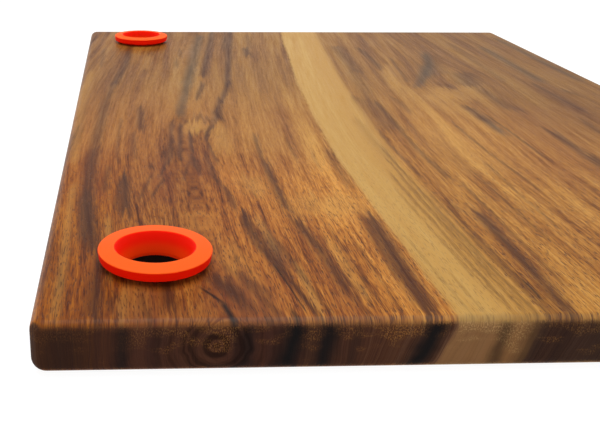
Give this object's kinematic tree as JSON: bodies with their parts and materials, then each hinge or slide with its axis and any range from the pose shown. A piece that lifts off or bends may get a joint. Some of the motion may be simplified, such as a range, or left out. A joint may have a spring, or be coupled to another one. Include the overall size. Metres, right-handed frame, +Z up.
{
  "type": "chopping board",
  "caption": "Rectangular wooden chopping board with rounded edges and silicone grip rings pushed into holes along one long side.",
  "frame": {"origin": "middle of the board's outline, on the underside", "axes": "+X across the board with the rings on the -X side, +Y along the grain away from the near end, +Z up out of the working face"},
  "size_m": [0.33, 0.47, 0.0237],
  "materials": {
    "oiled_wood": "satin oil, long grain along Y with a pale sapwood band",
    "orange_silicone": "matte moulded silicone"
  },
  "bodies": {
    "root": {"board": "oiled_wood", "near_ring": "orange_silicone", "far_ring": "orange_silicone"}
  },
  "joints": []
}
